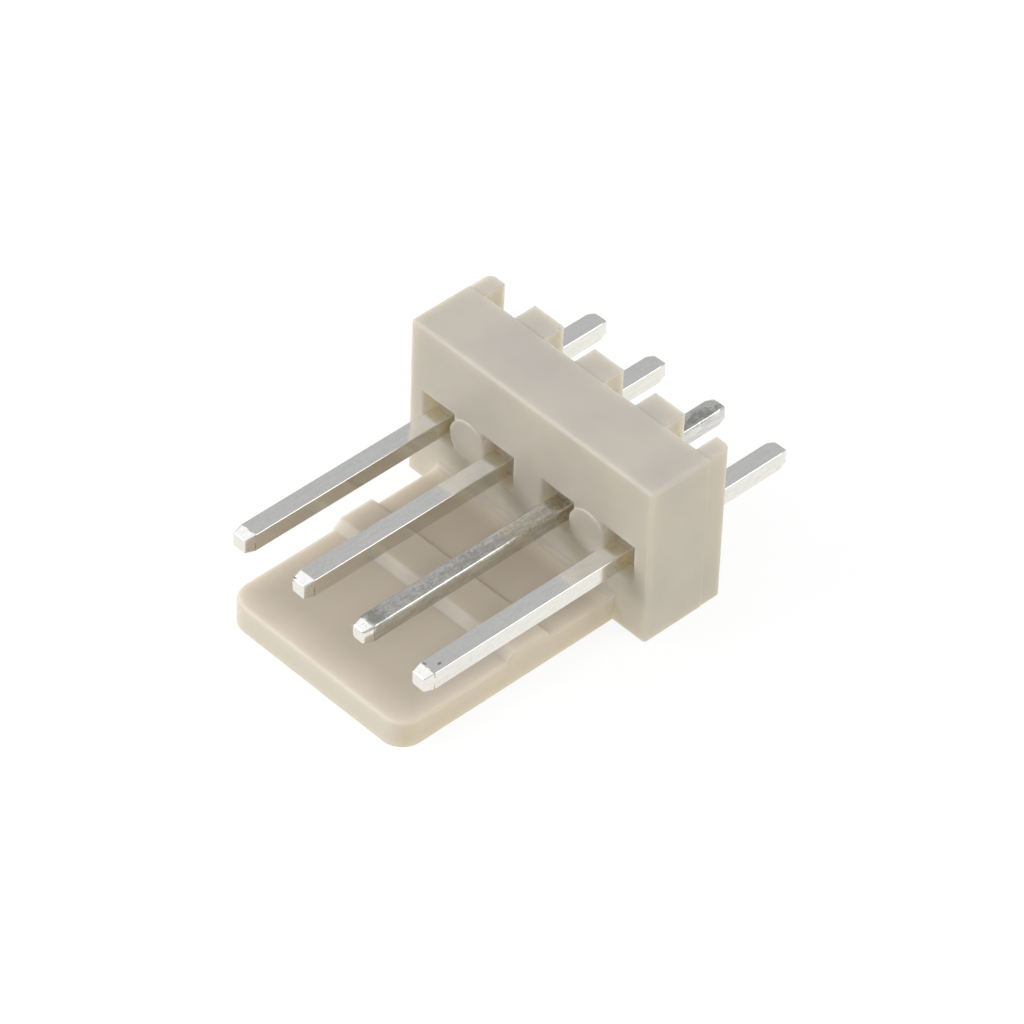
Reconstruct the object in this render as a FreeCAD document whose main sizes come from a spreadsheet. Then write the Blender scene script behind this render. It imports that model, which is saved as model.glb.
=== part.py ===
"""Four-way board header: a moulded housing with a friction lock wall, and four square pins pressed into it.

It lies on the flat of its lock wall. X runs along the row of pins, Y from the mating tips (negative)
to the solder tails (positive), and Z up. The origin is on the surface that the part lies on, under
the middle of its box. Each body is drawn from the mating face of the base. Sizes are in millimetres.
"""
import FreeCAD, Part
import math
import os
import Sketcher

# Driving dimensions: alias, value, meaning
DIMENSIONS = (
    ("ways", 4, "pins in the row"),
    ("pitch", 2.54, "spacing of the pins"),
    ("block_depth", 2.36, "solid base, along the pins"),
    ("block_height", 5.82, "solid base, across the row"),
    ("edge_radius", 0.1, "broken edges of the base and the lock wall"),
    ("pin_height", 2.61, "pin axis above the flat of the lock wall"),
    ("pin_width", 0.64, "side of the square pin"),
    ("mating_length", 7.85, "pin in front of the base"),
    ("tail_length", 3.47, "pin behind the board face"),
    ("tip_taper", 0.36, "length of the coined mating tip"),
    ("tail_taper", 0.29, "length of the coined tail tip"),
    ("taper_inset", 0.07, "how far each coined face comes in"),
    ("wall_inset", 1.33, "end of the base to the side of the lock wall"),
    ("wall_reach", 8.4, "lock wall in front of the base"),
    ("wall_thickness", 0.94, "lock wall"),
    ("wall_corner_radius", 0.75, "far corners of the lock wall"),
    ("root_radius", 0.2, "inner corner between lock wall and base"),
    ("ridge_place", 2.46, "base to the near foot of the friction ridge"),
    ("ridge_back_slope", 0.25, "length of the ridge's slope that faces the base"),
    ("ridge_flat", 1.2, "length of the ridge's level top"),
    ("ridge_lead_in", 0.31, "length of the ridge's slope that faces the tips"),
    ("ridge_height", 0.28, "ridge above the lock wall"),
    ("recess_width", 1.38, "square recess round each pin"),
    ("recess_depth", 0.5, "depth of that recess"),
    ("recess_rise", 0.08, "middle of the recess above the pin axis"),
    ("ejector_diameter", 1.44, "round ejector pad between two recesses"),
    ("ejector_proud", 0.05, "pad in front of the base"),
    ("rib_depth", 0.82, "standoff ribs, along the pins"),
    ("rib_top_inset", 0.06, "tops of the ribs below the top of the base"),
    ("rib_end_inset", 0.02, "outer faces of the end ribs inside those of the base"),
    ("end_rib_width", 0.61, "rib at each end of the row"),
    ("middle_rib_width", 1.22, "rib between two pins"),
    ("rib_corner_radius", 0.25, "outer far corners of the end ribs"),
)
SIZES = {alias: value for alias, value, _ in DIMENSIONS}

# Formulas that several features share
ROW_LENGTH = "Sizes.ways * Sizes.pitch"
FIRST_PIN = "-(Sizes.ways - 1) * Sizes.pitch / 2"
WALL_WIDTH = f"{ROW_LENGTH} - 2 * Sizes.wall_inset"
RIB_HEIGHT = "(Sizes.block_height - Sizes.rib_top_inset)"
RIDGE_LENGTH = "Sizes.ridge_back_slope + Sizes.ridge_flat + Sizes.ridge_lead_in"
TIP_WIDTH = "Sizes.pin_width - 2 * Sizes.taper_inset"
BEHIND_FACE = "(Sizes.block_depth + Sizes.rib_depth + Sizes.tail_length)"
MATING_FACE = f"(max(Sizes.wall_reach; Sizes.mating_length) - {BEHIND_FACE}) / 2"

# Two measures that differ by less than this are the same
SAME = 1e-4


def make_sheet(doc):
    """The driving dimensions, one row each: name, value, meaning."""
    sheet = doc.addObject("Spreadsheet::Sheet", "Sizes")
    for row, (alias, value, meaning) in enumerate(DIMENSIONS, start=1):
        sheet.set(f"A{row}", alias)
        sheet.set(f"B{row}", str(value))
        sheet.setAlias(f"B{row}", alias)
        sheet.set(f"C{row}", meaning)
    doc.recompute()


def make_body(doc, name):
    """An empty body whose file and node take this name, placed from the mating face."""
    body = doc.addObject("PartDesign::Body", name)
    body.Label = name
    body.setExpression("Placement.Base.y", MATING_FACE)
    return body


def origin_part(body, role):
    """The origin plane or axis of the body that has this role."""
    return next(item for item in body.Origin.OriginFeatures if item.Role == role)


def new_sketch(body, name, plane, right="0", up="0", out="0"):
    """A sketch on an origin plane, moved in its own directions by three formulas."""
    sketch = body.newObject("Sketcher::SketchObject", name)
    sketch.AttachmentSupport = [(origin_part(body, plane), "")]
    sketch.MapMode = "FlatFace"
    sketch.setExpression("AttachmentOffset.Base.x", right)
    sketch.setExpression("AttachmentOffset.Base.y", up)
    sketch.setExpression("AttachmentOffset.Base.z", out)
    return sketch


def measure(sketch, name, formula, kind, *where):
    """A distance, radius or diameter in the sketch that follows a formula."""
    index = sketch.addConstraint(Sketcher.Constraint(kind, *where, 1.0))
    sketch.renameConstraint(index, name)
    sketch.setExpression(f"Constraints.{name}", formula)


def draw_loop(sketch, corners):
    """Closed straight lines through the corners; line n starts at corner n."""
    points = [FreeCAD.Vector(x, y, 0) for x, y in corners]
    for start, end in zip(points, points[1:] + points[:1]):
        sketch.addGeometry(Part.LineSegment(start, end))
    for line in range(len(points)):
        following = (line + 1) % len(points)
        sketch.addConstraint(Sketcher.Constraint("Coincident", line, 2, following, 1))


def draw_rectangle(sketch, width, height):
    """A rectangle whose middle is the sketch's origin."""
    draw_loop(sketch, ((-1, -1), (1, -1), (1, 1), (-1, 1)))
    for line in (0, 2):
        sketch.addConstraint(Sketcher.Constraint("Horizontal", line))
    for line in (1, 3):
        sketch.addConstraint(Sketcher.Constraint("Vertical", line))
    sketch.addConstraint(Sketcher.Constraint("Symmetric", 0, 1, 2, 1, -1, 1))
    measure(sketch, "Width", width, "DistanceX", 0, 1, 0, 2)
    measure(sketch, "Height", height, "DistanceY", 1, 1, 1, 2)


def draw_ridge(sketch, sunk):
    """The ridge's side view from its far foot, on a plinth that is sunk into the lock wall."""
    draw_loop(sketch, ((0, 0), (6, 0), (6, 1), (5, 2), (1, 2), (0, 1)))
    sketch.addConstraint(Sketcher.Constraint("Coincident", 0, 1, -1, 1))
    for line in (0, 3):
        sketch.addConstraint(Sketcher.Constraint("Horizontal", line))
    for line in (1, 5):
        sketch.addConstraint(Sketcher.Constraint("Vertical", line))
    measure(sketch, "Length", RIDGE_LENGTH, "DistanceX", 0, 1, 0, 2)
    measure(sketch, "NearPlinth", sunk, "DistanceY", 1, 1, 1, 2)
    measure(sketch, "FarPlinth", sunk, "DistanceY", 5, 2, 5, 1)
    measure(sketch, "LeadIn", "Sizes.ridge_lead_in", "DistanceX", 5, 1, 4, 1)
    measure(sketch, "Level", "Sizes.ridge_flat", "DistanceX", 4, 1, 3, 1)
    measure(sketch, "Height", "Sizes.ridge_height", "DistanceY", 5, 1, 4, 1)


def draw_root(sketch, sunk):
    """The hollow corner's side view: a plinth sunk into the lock wall, and an arc up to the base."""
    arc_circle = Part.Circle(FreeCAD.Vector(0, 3, 0), FreeCAD.Vector(0, 0, 1), 2)
    points = [FreeCAD.Vector(x, y, 0) for x, y in ((0, 1), (0, 0), (2, 0), (2, 3))]
    for start, end in zip(points, points[1:]):
        sketch.addGeometry(Part.LineSegment(start, end))
    sketch.addGeometry(Part.ArcOfCircle(arc_circle, -math.pi / 2, 0))
    sketch.addConstraint(Sketcher.Constraint("Coincident", 0, 2, 1, 1))
    sketch.addConstraint(Sketcher.Constraint("Coincident", 1, 2, 2, 1))
    sketch.addConstraint(Sketcher.Constraint("Coincident", 2, 2, 3, 2))
    sketch.addConstraint(Sketcher.Constraint("Coincident", 3, 1, 0, 1))
    sketch.addConstraint(Sketcher.Constraint("Coincident", 0, 2, -1, 1))
    sketch.addConstraint(Sketcher.Constraint("Vertical", 0))
    sketch.addConstraint(Sketcher.Constraint("Horizontal", 1))
    sketch.addConstraint(Sketcher.Constraint("Vertical", 2))
    sketch.addConstraint(Sketcher.Constraint("PointOnObject", 3, 3, 0))
    measure(sketch, "Plinth", sunk, "DistanceY", 0, 2, 0, 1)
    measure(sketch, "Reach", "Sizes.root_radius", "DistanceX", 1, 1, 1, 2)
    measure(sketch, "Radius", "Sizes.root_radius", "Radius", 3)


def draw_circle(sketch, diameter):
    """A circle about the sketch's origin."""
    sketch.addGeometry(Part.Circle(FreeCAD.Vector(0, 0, 0), FreeCAD.Vector(0, 0, 1), 1))
    sketch.addConstraint(Sketcher.Constraint("Coincident", 0, 3, -1, 1))
    measure(sketch, "Diameter", diameter, "Diameter", 0)


def add_pad(body, name, sketch, length, side="One side", reverse=False):
    """Material from the sketch: along its normal, against it, or half to each side."""
    pad = body.newObject("PartDesign::Pad", name)
    pad.Profile = sketch
    pad.SideType = side
    pad.Reversed = reverse
    pad.setExpression("Length", length)
    return pad


def add_pocket(body, name, sketch, length):
    """A pocket against the sketch's normal; without a length it goes through everything."""
    pocket = body.newObject("PartDesign::Pocket", name)
    pocket.Profile = sketch
    if length:
        pocket.setExpression("Length", length)
    else:
        pocket.Type = "ThroughAll"
    return pocket


def add_row(body, name, feature, spacing, copies):
    """The feature repeated along the row of pins."""
    row = body.newObject("PartDesign::LinearPattern", name)
    row.Originals = [feature]
    row.Direction = (origin_part(body, "X_Axis"), [""])
    row.Mode = "Spacing"
    row.setExpression("Offset", spacing)
    row.setExpression("Occurrences", copies)
    body.Tip = row
    return row


def add_fillet(body, name, feature, radius, is_chosen):
    """Rounds the edges of the feature's shape that the test chooses."""
    body.Document.recompute()
    edges = [f"Edge{n}" for n, edge in enumerate(feature.Shape.Edges, start=1) if is_chosen(edge)]
    fillet = body.newObject("PartDesign::Fillet", name)
    fillet.Base = (feature, edges)
    fillet.setExpression("Radius", radius)
    return fillet


def same(first, second):
    """Whether two measures are equal, apart from rounding."""
    return abs(first - second) < SAME


def is_upright(edge):
    """Whether the edge runs along Z."""
    return same(edge.BoundBox.XLength, 0) and same(edge.BoundBox.YLength, 0)


def is_off_the_flat(edge):
    """Whether the edge stands above the flat that the part lies on."""
    return edge.BoundBox.ZMax > SAME


def is_wall_end(edge):
    """Whether the edge is an upright corner at the far end of the lock wall."""
    return is_upright(edge) and same(edge.BoundBox.YMin, -SIZES["wall_reach"])


def is_wall_rim(edge):
    """Whether the edge goes round the upper side of the lock wall, in front of the base."""
    box = edge.BoundBox
    is_level = same(box.ZMin, SIZES["wall_thickness"]) and same(box.ZMax, SIZES["wall_thickness"])
    return is_level and box.YMin < -SAME


def is_ridge_shoulder(edge):
    """Whether the edge bounds the ridge's level top on one of its long sides."""
    box = edge.BoundBox
    top = SIZES["wall_thickness"] + SIZES["ridge_height"]
    return same(box.ZMin, top) and same(box.ZMax, top) and same(box.YLength, 0)


def is_outer_rib_corner(edge):
    """Whether the edge is an upright corner of an end rib, outside and on the board's side."""
    box = edge.BoundBox
    half_outline = SIZES["ways"] * SIZES["pitch"] / 2 - SIZES["rib_end_inset"]
    board_face = SIZES["block_depth"] + SIZES["rib_depth"]
    return is_upright(edge) and same(abs(box.XMin), half_outline) and same(box.YMax, board_face)


def add_base(body):
    """The solid base that holds the pins, with its edges broken."""
    sketch = new_sketch(body, "BaseOutline", "XZ_Plane", up="Sizes.block_height / 2")
    draw_rectangle(sketch, ROW_LENGTH, "Sizes.block_height")
    base = add_pad(body, "Base", sketch, "Sizes.block_depth", reverse=True)
    add_fillet(body, "BaseEdges", base, "Sizes.edge_radius", is_off_the_flat)


def add_lock_wall(body):
    """The wall under the mating pins, with round far corners and a broken rim."""
    sketch = new_sketch(body, "WallOutline", "XY_Plane", up="-Sizes.wall_reach / 2")
    draw_rectangle(sketch, WALL_WIDTH, "Sizes.wall_reach")
    wall = add_pad(body, "LockWall", sketch, "Sizes.wall_thickness")
    corners = add_fillet(body, "WallCorners", wall, "Sizes.wall_corner_radius", is_wall_end)
    add_fillet(body, "WallRim", corners, "Sizes.edge_radius", is_wall_rim)


def add_wall_root(body):
    """The hollow corner where the lock wall meets the base."""
    sketch = new_sketch(body, "RootOutline", "YZ_Plane", "-Sizes.root_radius",
                        "Sizes.wall_thickness - Sizes.edge_radius")
    draw_root(sketch, "Sizes.edge_radius")
    add_pad(body, "WallRoot", sketch, WALL_WIDTH, side="Symmetric")


def add_friction_ridge(body):
    """The ridge across the lock wall that the mating plug snaps over."""
    sketch = new_sketch(body, "RidgeOutline", "YZ_Plane", f"-Sizes.ridge_place - ({RIDGE_LENGTH})",
                        "Sizes.wall_thickness - Sizes.edge_radius")
    draw_ridge(sketch, "Sizes.edge_radius")
    ridge = add_pad(body, "FrictionRidge", sketch, WALL_WIDTH, side="Symmetric")
    add_fillet(body, "RidgeShoulders", ridge, "Sizes.edge_radius / 2", is_ridge_shoulder)


def add_recesses(body):
    """A square recess round each pin, in the mating face."""
    sketch = new_sketch(body, "RecessOutline", "XZ_Plane", FIRST_PIN,
                        "Sizes.pin_height + Sizes.recess_rise")
    draw_rectangle(sketch, "Sizes.recess_width", "Sizes.recess_width")
    recess = add_pocket(body, "Recess", sketch, "Sizes.recess_depth")
    add_row(body, "Recesses", recess, "Sizes.pitch", "Sizes.ways")


def add_ejector_pads(body):
    """A round pad between every other pair of recesses; it reaches into them on both sides."""
    sketch = new_sketch(body, "EjectorOutline", "XZ_Plane", f"{FIRST_PIN} + Sizes.pitch / 2",
                        "Sizes.pin_height + Sizes.recess_rise", "Sizes.ejector_proud")
    draw_circle(sketch, "Sizes.ejector_diameter")
    pad = add_pad(body, "EjectorPad", sketch, "Sizes.ejector_proud + Sizes.recess_depth", reverse=True)
    add_row(body, "EjectorPads", pad, "2 * Sizes.pitch", "floor(Sizes.ways / 2)")


def add_standoff_ribs(body):
    """The ribs that stand on the board: one at each end, and one between each two pins."""
    middle = f"{RIB_HEIGHT} / 2"
    length = "Sizes.block_depth / 2 + Sizes.rib_depth"
    end_place = f"-({ROW_LENGTH} - Sizes.end_rib_width) / 2 + Sizes.rib_end_inset"
    sketch = new_sketch(body, "EndRibOutline", "XZ_Plane", end_place, middle, "-Sizes.block_depth / 2")
    draw_rectangle(sketch, "Sizes.end_rib_width", RIB_HEIGHT)
    end_rib = add_pad(body, "EndRib", sketch, length, reverse=True)
    end_ribs = body.newObject("PartDesign::Mirrored", "EndRibs")
    end_ribs.Originals = [end_rib]
    end_ribs.MirrorPlane = (origin_part(body, "YZ_Plane"), [""])
    body.Tip = end_ribs
    add_fillet(body, "RibCorners", end_ribs, "Sizes.rib_corner_radius", is_outer_rib_corner)
    sketch = new_sketch(body, "MiddleRibOutline", "XZ_Plane", f"{FIRST_PIN} + Sizes.pitch / 2", middle,
                        "-Sizes.block_depth / 2")
    draw_rectangle(sketch, "Sizes.middle_rib_width", RIB_HEIGHT)
    middle_rib = add_pad(body, "MiddleRib", sketch, length, reverse=True)
    add_row(body, "MiddleRibs", middle_rib, "Sizes.pitch", "Sizes.ways - 1")


def add_pin_holes(body):
    """The square holes that grip the pins, as wide as the pins are."""
    sketch = new_sketch(body, "HoleOutline", "XZ_Plane", FIRST_PIN, "Sizes.pin_height")
    draw_rectangle(sketch, "Sizes.pin_width", "Sizes.pin_width")
    hole = add_pocket(body, "PinHole", sketch, None)
    add_row(body, "PinHoles", hole, "Sizes.pitch", "Sizes.ways")


def make_housing(doc):
    """The housing, one moulding."""
    body = make_body(doc, "housing")
    add_base(body)
    add_lock_wall(body)
    add_wall_root(body)
    add_friction_ridge(body)
    add_recesses(body)
    add_ejector_pads(body)
    add_standoff_ribs(body)
    add_pin_holes(body)
    return body


def add_taper(body, name, shoulder, tip):
    """A coined end: the full square at the shoulder, and the smaller one at the tip."""
    wide = new_sketch(body, f"{name}Shoulder", "XZ_Plane", out=shoulder)
    draw_rectangle(wide, "Sizes.pin_width", "Sizes.pin_width")
    narrow = new_sketch(body, f"{name}End", "XZ_Plane", out=tip)
    draw_rectangle(narrow, TIP_WIDTH, TIP_WIDTH)
    taper = body.newObject("PartDesign::AdditiveLoft", name)
    taper.Profile = wide
    taper.Sections = [narrow]
    taper.Ruled = True


def make_pin(doc, number):
    """One straight square pin, coined at both ends; its axis is the Y axis of its body."""
    body = make_body(doc, f"pin_{number}")
    body.setExpression("Placement.Base.x", f"{FIRST_PIN} + {number - 1} * Sizes.pitch")
    body.setExpression("Placement.Base.z", "Sizes.pin_height")
    mating_shoulder = "Sizes.mating_length - Sizes.tip_taper"
    tail_shoulder = f"{BEHIND_FACE} - Sizes.tail_taper"
    sketch = new_sketch(body, "ShankOutline", "XZ_Plane", out=mating_shoulder)
    draw_rectangle(sketch, "Sizes.pin_width", "Sizes.pin_width")
    add_pad(body, "Shank", sketch, f"{mating_shoulder} + {tail_shoulder}", reverse=True)
    add_taper(body, "MatingTip", mating_shoulder, "Sizes.mating_length")
    add_taper(body, "TailTip", f"-({tail_shoulder})", f"-{BEHIND_FACE}")
    return body


def check_document(doc, parts):
    """Stops if a feature failed, a pocket or pattern changed nothing, or a piece isn't one sound solid."""
    failed = [item.Name for item in doc.Objects if {"Invalid", "Error"} & set(item.State)]
    if failed:
        raise RuntimeError(f"failed features: {failed}")
    for item in doc.Objects:
        if item.TypeId == "PartDesign::Pocket" and item.Shape.Volume > item.BaseFeature.Shape.Volume - SAME:
            raise RuntimeError(f"{item.Name} cuts nothing")
    for part in parts:
        if part.Shape.isNull() or not part.Shape.isValid() or len(part.Shape.Solids) != 1:
            raise RuntimeError(f"{part.Label} isn't one sound solid")


def write_parts(parts):
    """Writes each piece to its own file and prints its size."""
    os.makedirs("parts", exist_ok=True)
    for part in parts:
        part.Shape.exportStep(f"parts/{part.Label}.step")
        box = part.Shape.BoundBox
        print(f"{part.Label}: {part.Shape.Volume:.4f} mm3, {len(part.Shape.Faces)} faces, "
              f"X {box.XMin:.3f} to {box.XMax:.3f}, Y {box.YMin:.3f} to {box.YMax:.3f}, "
              f"Z {box.ZMin:.3f} to {box.ZMax:.3f}")


def main():
    doc = FreeCAD.newDocument("board_header")
    make_sheet(doc)
    parts = [make_housing(doc)]
    for number in range(1, SIZES["ways"] + 1):
        parts.append(make_pin(doc, number))
    doc.recompute()
    check_document(doc, parts)
    write_parts(parts)


main()
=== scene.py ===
"""The look of a four-way friction lock board header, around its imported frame. Lengths are in metres."""

import math

import bpy
from mathutils import Matrix, Vector


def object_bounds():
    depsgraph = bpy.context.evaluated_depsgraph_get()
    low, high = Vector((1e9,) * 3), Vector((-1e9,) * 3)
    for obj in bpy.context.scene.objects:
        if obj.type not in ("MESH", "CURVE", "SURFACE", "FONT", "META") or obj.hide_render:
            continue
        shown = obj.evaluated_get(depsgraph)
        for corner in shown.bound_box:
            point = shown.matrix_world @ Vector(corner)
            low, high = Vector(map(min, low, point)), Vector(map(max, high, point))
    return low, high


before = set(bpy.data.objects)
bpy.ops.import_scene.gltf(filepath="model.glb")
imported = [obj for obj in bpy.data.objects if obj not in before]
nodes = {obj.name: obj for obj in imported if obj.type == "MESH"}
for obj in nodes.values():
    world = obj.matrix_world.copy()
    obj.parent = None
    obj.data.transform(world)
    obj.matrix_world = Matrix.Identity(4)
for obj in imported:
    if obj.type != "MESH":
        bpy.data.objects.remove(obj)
cad_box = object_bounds()

MM = 0.001

# The camera stands to the right of the mating side, looks down, and is turned a little about its own axis.
CAMERA_AIM = Vector((0.0, 0.3, 2.0)) * MM
CAMERA_DISTANCE = 196.8 * MM
CAMERA_AZIMUTH = math.radians(45.22)
CAMERA_ELEVATION = math.radians(43.11)
CAMERA_ROLL = math.radians(2.21)
SENSOR_WIDTH = 36.0
LENS = 236.8
CAMERA_NEAREST = 10 * MM
CAMERA_FARTHEST = 10.0

# A strength of 1 is white to the camera. The lamps and the dome together light the top of the part to
# about 1.
WHITE = (1.0, 1.0, 1.0, 1.0)
DOME_STRENGTH = 0.57
FLOOR_REACH = 1.0
FLOOR_COLOR = (0.70, 0.68, 0.58, 1.0)
FLOOR_GLOW_COLOR = (1.0, 0.97, 0.82, 1.0)
FLOOR_GLOW = 0.50
# Where the floor is seen, this share of its white is paint that takes a shadow, and the rest is glow. Away
# from the part the paint is reckoned to return a little less than its share, and the glow makes up for it.
FLOOR_SHADOW_SHARE = 0.15
FLOOR_PAINT_RETURN = 0.9

# Each softbox: name, place, width and depth, and radiant power in watts. The depth lies in the upright
# plane through the softbox and the part, so on the overhead one it runs along X.
SOFTBOXES = (
    ("overhead_softbox", Vector((-0.12, 0.0, 0.60)), (0.56, 1.00), 1.0),
    ("front_softbox", Vector((-0.50, -0.60, 0.45)), (0.50, 0.50), 3.5),
    ("back_softbox", Vector((0.45, 0.62, 0.42)), (0.90, 0.45), 1.9),
    ("rim_strip", Vector((0.40, 0.46, 0.66)), (0.60, 0.13), 0.55),
)

# From here on, places and reaches are in millimetres, noise scales are in cycles a millimetre, and what is
# multiplied by MM is in metres.

# Colours of the moulded plastic: two that mix in clouds, and that of the specks. The others are painted
# light: a warmer tint on the lock wall where light passes up through it, a lighter one along its edges, a
# lighter and less warm one on its front, a lighter one on the thin ribs' sides, and a lighter one in narrow
# places.
IVORY = (0.530, 0.492, 0.432, 1.0)
IVORY_COOL = (0.480, 0.451, 0.408, 1.0)
PAINTED_WALL_WARM_LIGHT = (0.560, 0.498, 0.408, 1.0)
PAINTED_WALL_EDGE_LIGHT = (0.675, 0.613, 0.532, 1.0)
PAINTED_WALL_FRONT_LIGHT = (0.575, 0.541, 0.480, 1.0)
PAINTED_RIB_SIDE_LIGHT = (0.600, 0.556, 0.484, 1.0)
IVORY_SPECK = (0.33, 0.28, 0.18, 1.0)
PAINTED_RECESS_LIGHT = (0.84, 0.79, 0.67, 1.0)

# The plastic's noises and relief.
CLOUDS = {"scale": 0.38, "detail": 3.0}
CLOUD_RANGE = (0.35, 0.65)
DUST = {"scale": 1.1, "size": 0.035, "share": 0.20}
DUST_STRENGTH = 0.6
SHEEN = {"scale": 1.3, "detail": 4.0}
SHEEN_RANGE = (0.3, 0.7)
PLASTIC_ROUGHNESS = (0.36, 0.48)
MOULD_WAVES = {"scale": 0.6, "detail": 1.0}
MOULD_WAVE_HEIGHT = 0.012 * MM
MOULD_GRAIN = {"scale": 22.0, "detail": 3.0}
MOULD_GRAIN_HEIGHT = 0.0011 * MM
SOFT_EDGE = 0.11 * MM
SOFT_EDGE_SAMPLES = 4

# The light inside the plastic.
PLASTIC_IOR = 1.5
PLASTIC_DEPTH = 1.0 * MM
PLASTIC_REACH = (1.0, 0.90, 0.74)
PLASTIC_BLEND = 0.70

# How much of the open surroundings a place sees where the painted light of narrow places begins, and where
# it is full.
CREVICE_REACH = 1.2 * MM
CREVICE_RANGE = (0.88, 0.32)
CREVICE_SAMPLES = 8

# The lock wall ends at its ridge above, at the block's face behind, and at three edges. Light passes
# through it near those edges, and less at the sides, and is painted there as a lighter colour, so their
# line lies a little outside the wall.
WALL_HEIGHT = 1.25
WALL_HEIGHT_BLUR = 0.25
WALL_BACK = (0.48, 0.98)
WALL_FRONT = -7.54
WALL_SIDE = 4.10
WALL_GLOW_REACH = 1.3
WALL_SIDE_GLOW = 0.38
WALL_FRONT_FACING = (-0.5, -0.9)

# The sides of the ribs, painted lighter to stand in for light through them: where the ribs begin along Y,
# how far a face has to look sideways, and the stretch along X over which the painted light fades out
# towards the outer faces of the end ribs.
RIB_ROOT = (3.25, 3.35)
RIB_FACING = (0.5, 0.9)
RIB_INNER = (4.10, 4.8)

# Colours of the tin plating.
TIN = (0.85, 0.85, 0.84, 1.0)
# The warmer tin on the pins' sides is a painted reflection of the tan plastic beside them.
TIN_SIDE_PAINTED_REFLECTION = (0.85, 0.835, 0.765, 1.0)
TIN_DULL = (0.55, 0.55, 0.53, 1.0)
TIN_PIT = (0.16, 0.15, 0.13, 1.0)
TIN_STAIN = (0.34, 0.34, 0.32, 1.0)
TIN_FILM = (0.46, 0.44, 0.39, 1.0)
TIN_DARK_BROWN = (0.30, 0.25, 0.18, 1.0)

# How far up a face of the pins looks, from the sides' painted reflection to the top's colour.
TOP_FACING = (0.4, 0.9)

# Marks, blotches and a fine mottle, all drawn out along the pins.
MARKS = {"scale": 14.0, "detail": 4.0, "roughness": 0.65}
MARKS_STRETCH = (1.0, 0.06, 1.0)
MARKS_RANGE = (0.45, 0.75)
MARKS_STRENGTH = 0.25
BLOTCHES = {"scale": 6.5, "detail": 6.0, "roughness": 0.7}
BLOTCHES_STRETCH = (1.0, 0.30, 1.0)
MOTTLE = {"scale": 18.0, "detail": 2.0}
MOTTLE_STRETCH = (1.0, 0.40, 1.0)
MOTTLE_RANGE = (0.45, 0.70)
MOTTLE_STRENGTH = 0.16

# Where the blotches begin and are full, and how strong they are: on a bright pin and on a dull one.
BLOTCH_BEGINS = (0.62, 0.30)
BLOTCH_FULL = (0.78, 0.62)
BLOTCH_STRENGTH = (0.25, 0.85)

# The coined mating tips begin at the shoulder and stay bright. A dull pin gets duller towards it.
TIP_SHOULDER = -6.615
TIP_DULL_FROM = -3.0
TIP_DULL_STRENGTH = 0.40

# A thin dark ring at the shoulder.
RING_WIDTH = 0.03
RING_CORE = 0.4
RING_GAPS = {"scale": 5.0}
RING_GAP_RANGE = (0.42, 0.62)
RING_STRENGTH = 0.75

# Stains are full up to their core, a share of their reach, and broken up by the blotches.
STAIN_EDGE = {"scale": 9.0, "detail": 3.0}
STAIN_EDGE_RANGE = (0.35, 0.65)
STAIN_RAGGEDNESS = 0.35
STAIN_CORE = 0.40
STAIN_BREAKS_RANGE = (0.35, 0.60)
STAIN_THINNEST = 0.45

# Pits, and the full part of any speck.
PITS = {"scale": 2.6, "size": 0.11, "share": 0.10}
PIT_STRENGTH = 0.8
PIT_DEPTH = 0.004 * MM
SPECK_CORE = 0.6

# The pins' gloss and relief.
TIN_SHEEN_RANGE = (0.3, 0.7)
TIN_ROUGHNESS = (0.07, 0.14)
DULL_ROUGHNESS = 0.12
PIN_WAVES = {"scale": 0.5, "detail": 1.0}
PIN_WAVE_HEIGHT = 0.010 * MM
MARK_HEIGHT = 0.0003 * MM

# The rounding of the pins' long edges and tip edges.
PIN_EDGE = 0.035 * MM
WORN_PIN_EDGE = 0.085 * MM
PIN_EDGE_STEPS = 3
PIN_EDGE_ANGLE = math.radians(5)
WELD_REACH = 0.0005 * MM

# The stains: the middle and the reach of each, and its colour. Most lie on the top of their pin.
PIN_TOP = 2.93
PIN_2_STAINS = (((-1.47, -6.95, 2.85), (0.09, 0.10, 0.09), TIN_PIT),)
PIN_3_STAINS = (
    ((1.27, -6.30, PIN_TOP), (0.60, 0.40, 0.12), TIN_STAIN),
    ((1.37, -1.60, PIN_TOP), (0.36, 4.60, 0.12), TIN_FILM),
    ((1.40, 6.00, PIN_TOP), (0.30, 2.00, 0.12), TIN_STAIN),
)
PIN_4_STAINS = (
    ((3.91, -6.25, PIN_TOP), (0.05, 0.09, 0.06), TIN_DARK_BROWN),
    ((3.62, -6.56, PIN_TOP), (0.08, 0.04, 0.06), TIN_DARK_BROWN),
)
# Each pin: its shift into the noises, how dull it is from 0 to 1, how far its edges are worn, and its
# stains.
PIN_FINISHES = {
    "pin_1": ((0.0, 0.0, 0.0), 0.0, PIN_EDGE, ()),
    "pin_2": ((7.0, 3.0, 1.0), 0.1, PIN_EDGE, PIN_2_STAINS),
    "pin_3": ((13.0, 9.0, 4.0), 1.0, WORN_PIN_EDGE, PIN_3_STAINS),
    "pin_4": ((21.0, 5.0, 8.0), 0.2, PIN_EDGE, PIN_4_STAINS),
}


def add_node(tree, kind, inputs=None, **settings):
    """Adds one shader node with its settings; an input is given a value, or a socket to read."""
    made = tree.nodes.new(kind)
    for name, value in settings.items():
        setattr(made, name, value)
    for name, value in (inputs or {}).items():
        give(tree, made.inputs[name], value)
    return made


def give(tree, socket, value):
    """Links the socket if the value is a socket too, and sets it otherwise."""
    if isinstance(value, bpy.types.NodeSocket):
        tree.links.new(value, socket)
    else:
        socket.default_value = value


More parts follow.
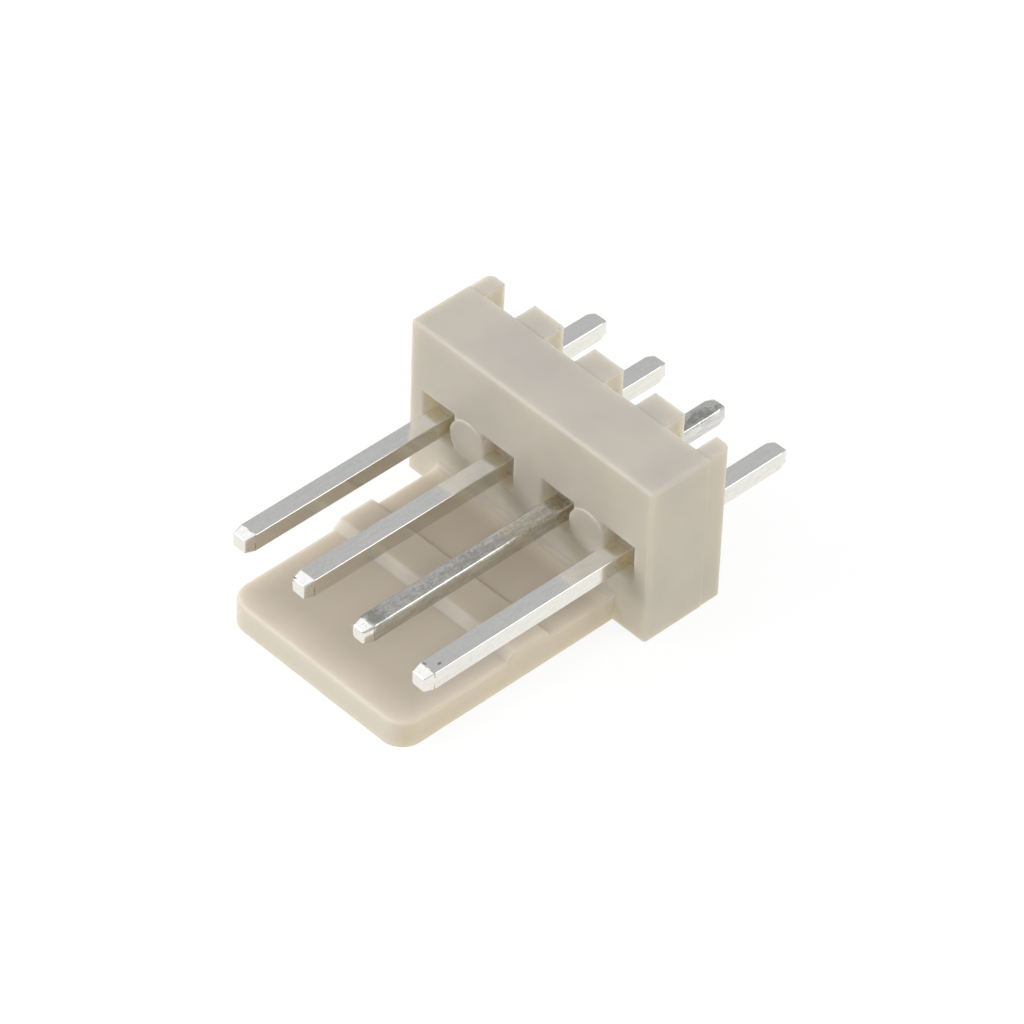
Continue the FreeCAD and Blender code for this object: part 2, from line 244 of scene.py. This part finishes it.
def position(tree, stretch=(1.0, 1.0, 1.0), shift=(0.0, 0.0, 0.0)):
    """The place on the part in millimetres, so that a noise scale is in cycles a millimetre."""
    place = add_node(tree, "ShaderNodeTexCoord")
    inputs = {
        "Vector": place.outputs["Object"],
        "Location": shift,
        "Scale": [share / MM for share in stretch],
    }
    return add_node(tree, "ShaderNodeMapping", inputs).outputs["Vector"]


def axes(tree, vector):
    """The X, Y and Z of a vector, each as a socket."""
    return add_node(tree, "ShaderNodeSeparateXYZ", {"Vector": vector}).outputs


def facing(tree):
    """The X, Y and Z of the way the surface faces, each as a socket."""
    return axes(tree, add_node(tree, "ShaderNodeNewGeometry").outputs["Normal"])


def noise(tree, place, scale, detail=2.0, roughness=0.5):
    inputs = {"Vector": place, "Scale": scale, "Detail": detail, "Roughness": roughness}
    return add_node(tree, "ShaderNodeTexNoise", inputs).outputs["Fac"]


def rescale(tree, value, low, high, to_low=0.0, to_high=1.0):
    """Carries low..high to to_low..to_high, and holds what lies outside at the nearer end."""
    inputs = {"Value": value, "From Min": low, "From Max": high, "To Min": to_low, "To Max": to_high}
    return add_node(tree, "ShaderNodeMapRange", inputs).outputs["Result"]


def calculate(tree, operation, *values):
    made = add_node(tree, "ShaderNodeMath", operation=operation)
    for socket, value in zip(made.inputs, values):
        give(tree, socket, value)
    return made.outputs["Value"]


def blend_colors(tree, share, first, second):
    """The first colour where the share is 0, and the second where it is 1."""
    made = add_node(tree, "ShaderNodeMix", data_type="RGBA")
    sockets = {socket.identifier: socket for socket in made.inputs}
    for name, value in (("Factor_Float", share), ("A_Color", first), ("B_Color", second)):
        give(tree, sockets[name], value)
    return next(socket for socket in made.outputs if socket.identifier == "Result_Color")


def bump(tree, height, depth, below=None):
    """Raises the surface by up to depth where the height is 1."""
    inputs = {"Height": height, "Distance": depth, "Strength": 1.0}
    if below is not None:
        inputs["Normal"] = below
    return add_node(tree, "ShaderNodeBump", inputs).outputs["Normal"]


def specks(tree, place, scale, size, share):
    """Small spots, 1 at the middle: size is their part of a cell, and share is how many cells have one."""
    cells = add_node(tree, "ShaderNodeTexVoronoi", {"Vector": place, "Scale": scale})
    near = rescale(tree, cells.outputs["Distance"], size * SPECK_CORE, size, 1.0, 0.0)
    pick = add_node(tree, "ShaderNodeSeparateColor", {"Color": cells.outputs["Color"]}).outputs["Red"]
    chosen = calculate(tree, "LESS_THAN", pick, share)
    return calculate(tree, "MULTIPLY", near, chosen)


def crevices(tree):
    """0 on open faces, and nearly 1 deep in a recess or a corner, where light is painted in as a lighter
    colour.
    """
    inputs = {"Distance": CREVICE_REACH}
    settings = {"samples": CREVICE_SAMPLES, "only_local": True}
    open_sky = add_node(tree, "ShaderNodeAmbientOcclusion", inputs, **settings).outputs["AO"]
    return rescale(tree, open_sky, *CREVICE_RANGE)


def lock_wall(tree, where):
    """1 on the lock wall, and 0 on the block."""
    low = rescale(tree, where["Z"], WALL_HEIGHT, WALL_HEIGHT + WALL_HEIGHT_BLUR, 1.0, 0.0)
    front = rescale(tree, where["Y"], *WALL_BACK, 1.0, 0.0)
    return calculate(tree, "MULTIPLY", low, front)


def wall_edges(tree, where, wall):
    """Near 1 on top along the edges of the lock wall, less on its sides, and 0 where no light passes; it
    carries the painted light that stands for light through the wall.
    """
    across = calculate(tree, "ABSOLUTE", where["X"])
    from_side = calculate(tree, "SUBTRACT", WALL_SIDE, across)
    from_front = calculate(tree, "SUBTRACT", where["Y"], WALL_FRONT)
    nearest = calculate(tree, "MINIMUM", from_side, from_front)
    near = calculate(tree, "MULTIPLY", rescale(tree, nearest, 0.0, WALL_GLOW_REACH, 1.0, 0.0), wall)
    upward = rescale(tree, facing(tree)["Z"], 0.0, 1.0, WALL_SIDE_GLOW, 1.0)
    return calculate(tree, "MULTIPLY", near, upward)


def wall_front(tree, wall):
    """1 on the narrow front face of the lock wall, which is painted lighter and less warm for the light
    that falls on it.
    """
    forward = rescale(tree, facing(tree)["Y"], *WALL_FRONT_FACING)
    return calculate(tree, "MULTIPLY", forward, wall)


def rib_sides(tree, where):
    """1 on the sides of the thin standoff ribs, where light let through them is painted on as a lighter
    colour.
    """
    sideways = rescale(tree, calculate(tree, "ABSOLUTE", facing(tree)["X"]), *RIB_FACING)
    inner = rescale(tree, calculate(tree, "ABSOLUTE", where["X"]), *RIB_INNER, 1.0, 0.0)
    beyond = rescale(tree, where["Y"], *RIB_ROOT)
    return calculate(tree, "MULTIPLY", calculate(tree, "MULTIPLY", sideways, inner), beyond)


def ring(tree, place, middle):
    """1 in a thin ragged ring round a pin at this place along it."""
    away = calculate(tree, "ABSOLUTE", calculate(tree, "SUBTRACT", axes(tree, place)["Y"], middle))
    line = rescale(tree, away, RING_WIDTH * RING_CORE, RING_WIDTH, 1.0, 0.0)
    gaps = rescale(tree, noise(tree, place, **RING_GAPS), *RING_GAP_RANGE, 0.0, RING_STRENGTH)
    return calculate(tree, "MULTIPLY", line, gaps)


def stain(tree, place, middle, reach):
    """1 in the middle of an oval patch with a ragged edge, and 0 past its reach."""
    inputs = {"Vector": place, "Location": middle, "Scale": reach}
    inside = add_node(tree, "ShaderNodeMapping", inputs, vector_type="TEXTURE").outputs["Vector"]
    away = add_node(tree, "ShaderNodeVectorMath", {0: inside}, operation="LENGTH").outputs["Value"]
    rough = noise(tree, place, **STAIN_EDGE)
    ragged = rescale(tree, rough, *STAIN_EDGE_RANGE, -STAIN_RAGGEDNESS, STAIN_RAGGEDNESS)
    return rescale(tree, calculate(tree, "ADD", away, ragged), STAIN_CORE, 1.0, 1.0, 0.0)


def new_material(name):
    """An empty material and its node tree."""
    material = bpy.data.materials.new(name)
    material.use_nodes = True
    tree = material.node_tree
    tree.nodes.clear()
    return material, tree


def finish_material(tree, surface):
    output = add_node(tree, "ShaderNodeOutputMaterial")
    tree.links.new(surface, output.inputs["Surface"])


def plastic_color(tree, place):
    """Cloudy ivory with a few dark specks, and painted light on the wall, its edges and front, the ribs'
    sides and narrow places.
    """
    where = axes(tree, place)
    wall = lock_wall(tree, where)
    clouds = rescale(tree, noise(tree, place, **CLOUDS), *CLOUD_RANGE)
    dust = rescale(tree, specks(tree, place, **DUST), 0.0, 1.0, 0.0, DUST_STRENGTH)
    color = blend_colors(tree, clouds, IVORY, IVORY_COOL)
    # Painted light: a warmer tint on the lock wall where light passes up through it.
    color = blend_colors(tree, wall, color, PAINTED_WALL_WARM_LIGHT)
    # Painted light along the edges of the lock wall.
    color = blend_colors(tree, wall_edges(tree, where, wall), color, PAINTED_WALL_EDGE_LIGHT)
    # Painted light on the front face of the lock wall.
    color = blend_colors(tree, wall_front(tree, wall), color, PAINTED_WALL_FRONT_LIGHT)
    # Painted light on the sides of the ribs.
    color = blend_colors(tree, rib_sides(tree, where), color, PAINTED_RIB_SIDE_LIGHT)
    # Painted light in recesses and corners.
    color = blend_colors(tree, crevices(tree), color, PAINTED_RECESS_LIGHT)
    return blend_colors(tree, dust, color, IVORY_SPECK)


def plastic_relief(tree, place):
    """Soft edges, slow waves and a fine grain."""
    settings = {"samples": SOFT_EDGE_SAMPLES}
    edges = add_node(tree, "ShaderNodeBevel", {"Radius": SOFT_EDGE}, **settings).outputs["Normal"]
    waves = bump(tree, noise(tree, place, **MOULD_WAVES), MOULD_WAVE_HEIGHT, edges)
    return bump(tree, noise(tree, place, **MOULD_GRAIN), MOULD_GRAIN_HEIGHT, waves)


def ivory_plastic():
    """Natural nylon, with a little light inside it."""
    material, tree = new_material("ivory_plastic")
    place = position(tree)
    sheen = noise(tree, place, **SHEEN)
    inputs = {
        "Base Color": plastic_color(tree, place),
        "Roughness": rescale(tree, sheen, *SHEEN_RANGE, *PLASTIC_ROUGHNESS),
        "Normal": plastic_relief(tree, place),
        "IOR": PLASTIC_IOR,
        "Subsurface Weight": PLASTIC_BLEND,
        "Subsurface Radius": PLASTIC_REACH,
        "Subsurface Scale": PLASTIC_DEPTH,
    }
    finish_material(tree, add_node(tree, "ShaderNodeBsdfPrincipled", inputs).outputs["BSDF"])
    return material


def at_dullness(ends, dullness):
    """The value for a pin between a bright one's and a dull one's."""
    bright, dull = ends
    return bright + (dull - bright) * dullness


def tin_dullness(tree, place, blotches, dullness):
    """How dull the tin is, 0 to 1: in blotches, more towards the mating tip, and not on the tip itself."""
    along = axes(tree, place)["Y"]
    begins = at_dullness(BLOTCH_BEGINS, dullness)
    full = at_dullness(BLOTCH_FULL, dullness)
    spots = rescale(tree, blotches, begins, full, 0.0, at_dullness(BLOTCH_STRENGTH, dullness))
    tip_end = rescale(tree, along, TIP_DULL_FROM, TIP_SHOULDER, 0.0, TIP_DULL_STRENGTH * dullness)
    dull = calculate(tree, "MINIMUM", calculate(tree, "ADD", spots, tip_end), 1.0)
    return calculate(tree, "MULTIPLY", dull, calculate(tree, "GREATER_THAN", along, TIP_SHOULDER))


def stained(tree, place, color, blotches, stains):
    """The colour with a pin's own stains on it."""
    breaks = rescale(tree, blotches, *STAIN_BREAKS_RANGE, STAIN_THINNEST, 1.0)
    for middle, reach, shade in stains:
        patch = calculate(tree, "MULTIPLY", stain(tree, place, middle, reach), breaks)
        color = blend_colors(tree, patch, color, shade)
    return color


def tin_plating(name, shift, dullness, stains):
    """Bright tin on square wire, with drawing marks, dull blotches, pits, stains, a dark ring at the
    shoulder, and warmer sides that paint a reflection.
    """
    material, tree = new_material(name)
    place = position(tree)
    moved = position(tree, shift=shift)
    marks = noise(tree, position(tree, MARKS_STRETCH, shift), **MARKS)
    blotches = noise(tree, position(tree, BLOTCHES_STRETCH, shift), **BLOTCHES)
    mottle = noise(tree, position(tree, MOTTLE_STRETCH, shift), **MOTTLE)
    pits = specks(tree, moved, **PITS)
    dull = tin_dullness(tree, place, blotches, dullness)

    # The sides get a painted reflection of the tan plastic.
    color = blend_colors(tree, rescale(tree, facing(tree)["Z"], *TOP_FACING), TIN_SIDE_PAINTED_REFLECTION, TIN)
    color = blend_colors(tree, dull, color, TIN_DULL)
    color = blend_colors(tree, rescale(tree, marks, *MARKS_RANGE, 0.0, MARKS_STRENGTH), color, TIN_DULL)
    color = blend_colors(tree, rescale(tree, mottle, *MOTTLE_RANGE, 0.0, MOTTLE_STRENGTH), color, TIN_DULL)
    color = stained(tree, place, color, blotches, stains)
    color = blend_colors(tree, ring(tree, place, TIP_SHOULDER), color, TIN_DARK_BROWN)
    color = blend_colors(tree, rescale(tree, pits, 0.0, 1.0, 0.0, PIT_STRENGTH), color, TIN_PIT)

    sheen = rescale(tree, marks, *TIN_SHEEN_RANGE, *TIN_ROUGHNESS)
    sheen = calculate(tree, "ADD", sheen, calculate(tree, "MULTIPLY", dull, DULL_ROUGHNESS))
    relief = bump(tree, noise(tree, moved, **PIN_WAVES), PIN_WAVE_HEIGHT)
    relief = bump(tree, marks, MARK_HEIGHT, relief)
    relief = bump(tree, pits, -PIT_DEPTH, relief)
    inputs = {"Base Color": color, "Metallic": 1.0, "Roughness": sheen, "Normal": relief}
    finish_material(tree, add_node(tree, "ShaderNodeBsdfPrincipled", inputs).outputs["BSDF"])
    return material


def seen_directly(tree):
    """1 for what the camera, metal or glass sees, and 0 for the light that falls on the part."""
    path = add_node(tree, "ShaderNodeLightPath").outputs
    seen = calculate(tree, "MAXIMUM", path["Is Camera Ray"], path["Is Glossy Ray"])
    return calculate(tree, "MAXIMUM", seen, path["Is Transmission Ray"])


def add_shaders(tree, first, second):
    made = add_node(tree, "ShaderNodeAddShader")
    tree.links.new(first, made.inputs[0])
    tree.links.new(second, made.inputs[1])
    return made.outputs["Shader"]


def floor_paint():
    """White where it is seen, less a soft shadow; as light, a pale surface that glows a little."""
    material, tree = new_material("floor_paint")
    share = FLOOR_SHADOW_SHARE
    shaded = add_node(tree, "ShaderNodeBsdfDiffuse", {"Color": (share, share, share, 1.0)})
    glow_inputs = {"Color": WHITE, "Strength": 1.0 - share * FLOOR_PAINT_RETURN}
    glow = add_node(tree, "ShaderNodeEmission", glow_inputs)
    pale = add_node(tree, "ShaderNodeBsdfDiffuse", {"Color": FLOOR_COLOR})
    table = add_node(tree, "ShaderNodeEmission", {"Color": FLOOR_GLOW_COLOR, "Strength": FLOOR_GLOW})
    white = add_shaders(tree, shaded.outputs["BSDF"], glow.outputs["Emission"])
    light = add_shaders(tree, pale.outputs["BSDF"], table.outputs["Emission"])
    choice = add_node(tree, "ShaderNodeMixShader", {"Fac": seen_directly(tree)})
    tree.links.new(light, choice.inputs[1])
    tree.links.new(white, choice.inputs[2])
    finish_material(tree, choice.outputs["Shader"])
    return material


def dress(piece, material):
    """Gives the piece this material and no other."""
    piece.data.materials.clear()
    piece.data.materials.append(material)


def round_edges(pin, radius):
    """Rounds the pin's edges a little, as coining and wear do, and keeps its faces flat."""
    weld = pin.modifiers.new("joined_faces", "WELD")
    weld.merge_threshold = WELD_REACH
    edges = pin.modifiers.new("round_edges", "BEVEL")
    edges.width = radius
    edges.segments = PIN_EDGE_STEPS
    edges.limit_method = "ANGLE"
    edges.angle_limit = PIN_EDGE_ANGLE
    shading = pin.modifiers.new("flat_faces", "WEIGHTED_NORMAL")
    shading.keep_sharp = False


def make_floor():
    lowest = cad_box[0][2]
    corners = [(x, y, lowest) for x, y in ((-1, -1), (1, -1), (1, 1), (-1, 1))]
    mesh = bpy.data.meshes.new("floor")
    mesh.from_pydata([(x * FLOOR_REACH, y * FLOOR_REACH, z) for x, y, z in corners], [], [(0, 1, 2, 3)])
    floor = bpy.data.objects.new("floor", mesh)
    bpy.context.scene.collection.objects.link(floor)
    floor.data.materials.append(floor_paint())


def light_dome():
    """An even dome: white where the camera sees it as the background, and softer as light and in metal."""
    world = bpy.data.worlds.new("dome")
    bpy.context.scene.world = world
    world.use_nodes = True
    tree = world.node_tree
    tree.nodes.clear()
    camera_ray = add_node(tree, "ShaderNodeLightPath").outputs["Is Camera Ray"]
    strength = rescale(tree, camera_ray, 0.0, 1.0, DOME_STRENGTH, 1.0)
    dome = add_node(tree, "ShaderNodeBackground", {"Color": WHITE, "Strength": strength})
    output = add_node(tree, "ShaderNodeOutputWorld")
    tree.links.new(dome.outputs["Background"], output.inputs["Surface"])


def add_softbox(name, place, size, power):
    """A rectangular lamp that faces the part."""
    lamp = bpy.data.lights.new(name, "AREA")
    lamp.shape = "RECTANGLE"
    lamp.size, lamp.size_y = size
    lamp.energy = power
    softbox = bpy.data.objects.new(name, lamp)
    softbox.location = place
    softbox.rotation_euler = (-place).to_track_quat("-Z", "Y").to_euler()
    bpy.context.scene.collection.objects.link(softbox)


def place_camera():
    """The camera looks at the aim from its azimuth, measured from -Y towards +X, and its elevation."""
    lens = bpy.data.cameras.new("camera")
    lens.sensor_fit = "HORIZONTAL"
    lens.sensor_width = SENSOR_WIDTH
    lens.lens = LENS
    lens.clip_start = CAMERA_NEAREST
    lens.clip_end = CAMERA_FARTHEST
    camera = bpy.data.objects.new("camera", lens)
    turn = Matrix.Rotation(CAMERA_AZIMUTH, 4, "Z")
    tilt = Matrix.Rotation(math.pi / 2 - CAMERA_ELEVATION, 4, "X")
    roll = Matrix.Rotation(CAMERA_ROLL, 4, "Z")
    back = Matrix.Translation((0.0, 0.0, CAMERA_DISTANCE))
    camera.matrix_world = Matrix.Translation(CAMERA_AIM) @ turn @ tilt @ back @ roll
    bpy.context.scene.collection.objects.link(camera)
    bpy.context.scene.camera = camera


dress(nodes["housing"], ivory_plastic())
for pin_name, (shift, dullness, edge, stains) in PIN_FINISHES.items():
    dress(nodes[pin_name], tin_plating(f"tin_{pin_name}", shift, dullness, stains))
    round_edges(nodes[pin_name], edge)

make_floor()
light_dome()
for name, place, size, power in SOFTBOXES:
    add_softbox(name, place, size, power)
place_camera()
bpy.context.scene.view_settings.view_transform = "Standard"
